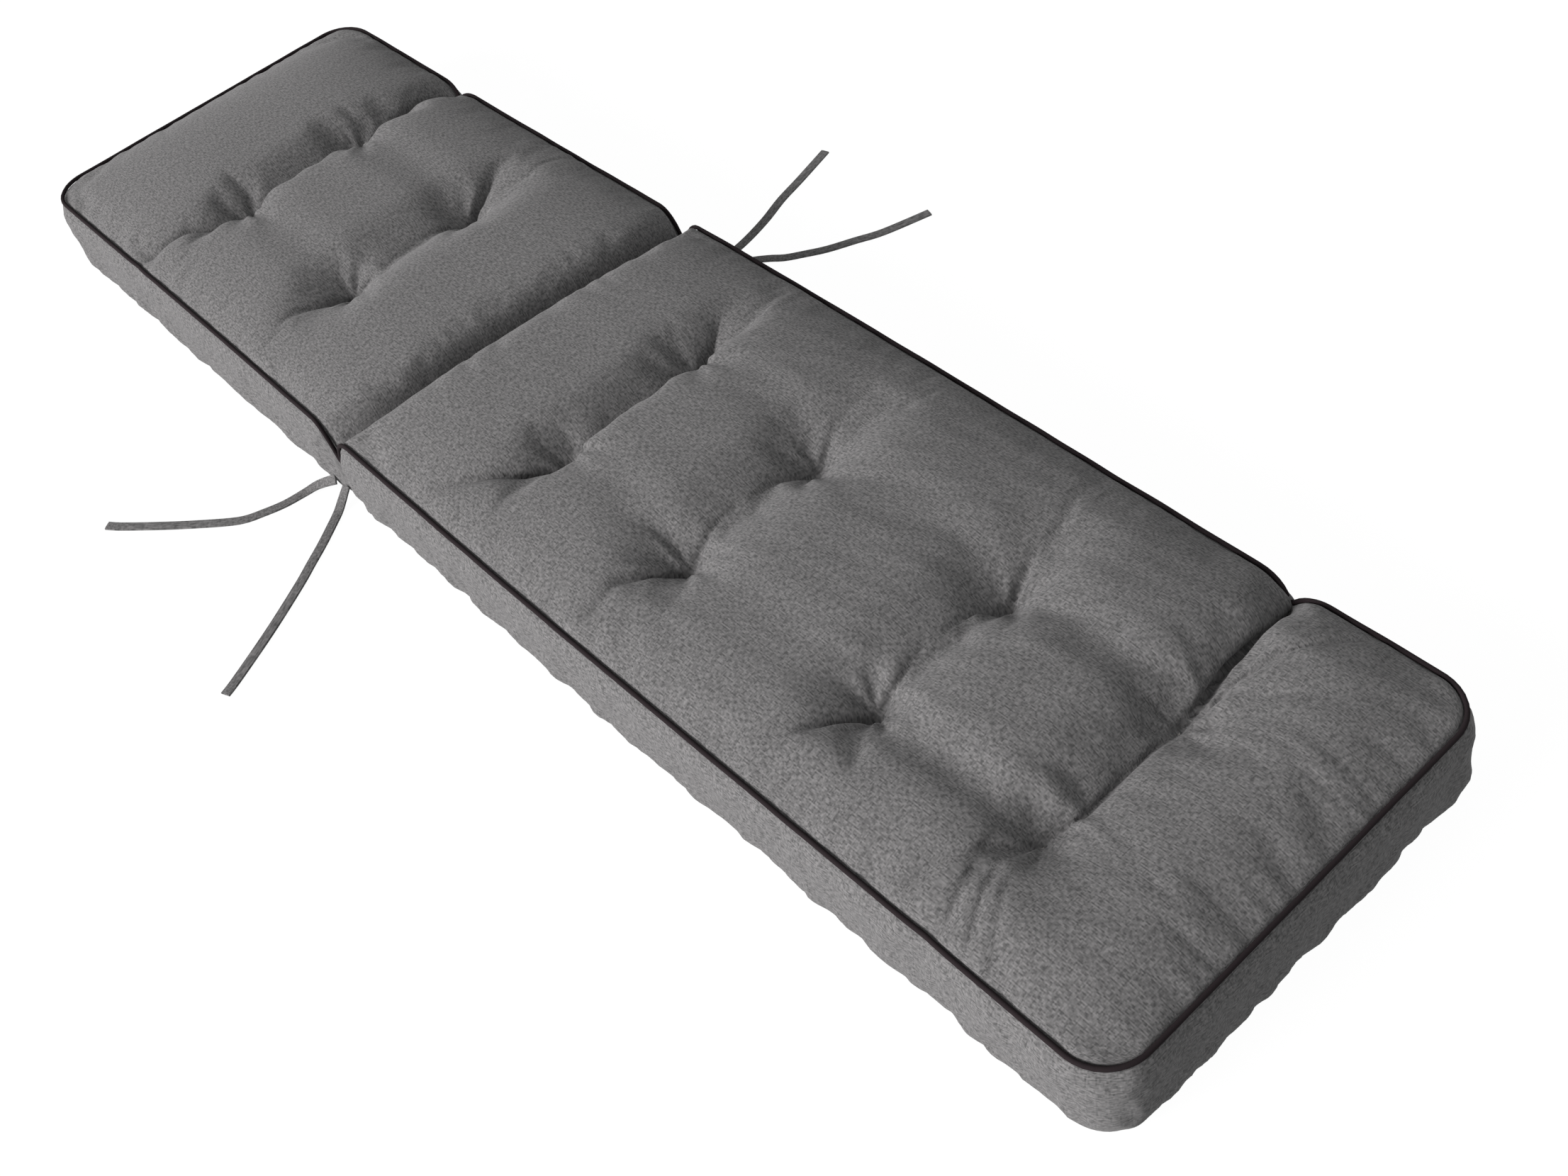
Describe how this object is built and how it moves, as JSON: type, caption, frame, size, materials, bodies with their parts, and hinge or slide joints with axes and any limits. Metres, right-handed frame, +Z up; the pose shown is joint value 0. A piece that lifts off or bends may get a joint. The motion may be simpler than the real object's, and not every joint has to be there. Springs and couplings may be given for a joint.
{
  "type": "sun lounger cushion",
  "caption": "Long filled sun lounger cushion, tufted in rows and sewn through at a fold line, with dark piping and side tie tapes.",
  "frame": {"origin": "middle of the flat underside, on the surface that the cushion lies on", "axes": "+X towards the foot end, along the length; -Y is the near long side of the reference view; +Z up out of the top panel"},
  "size_m": [1.9204, 1.0688, 0.139],
  "materials": {
    "melange_cloth": "matt woven polyester in grey melange",
    "piping_cord": "matt dark brown-black bias cloth over a cord"
  },
  "bodies": {
    "root": {"cushion": "melange_cloth", "piping": "piping_cord", "tie_near_head": "melange_cloth", "tie_near_foot": "melange_cloth", "tie_far_head": "melange_cloth", "tie_far_foot": "melange_cloth"}
  },
  "joints": []
}
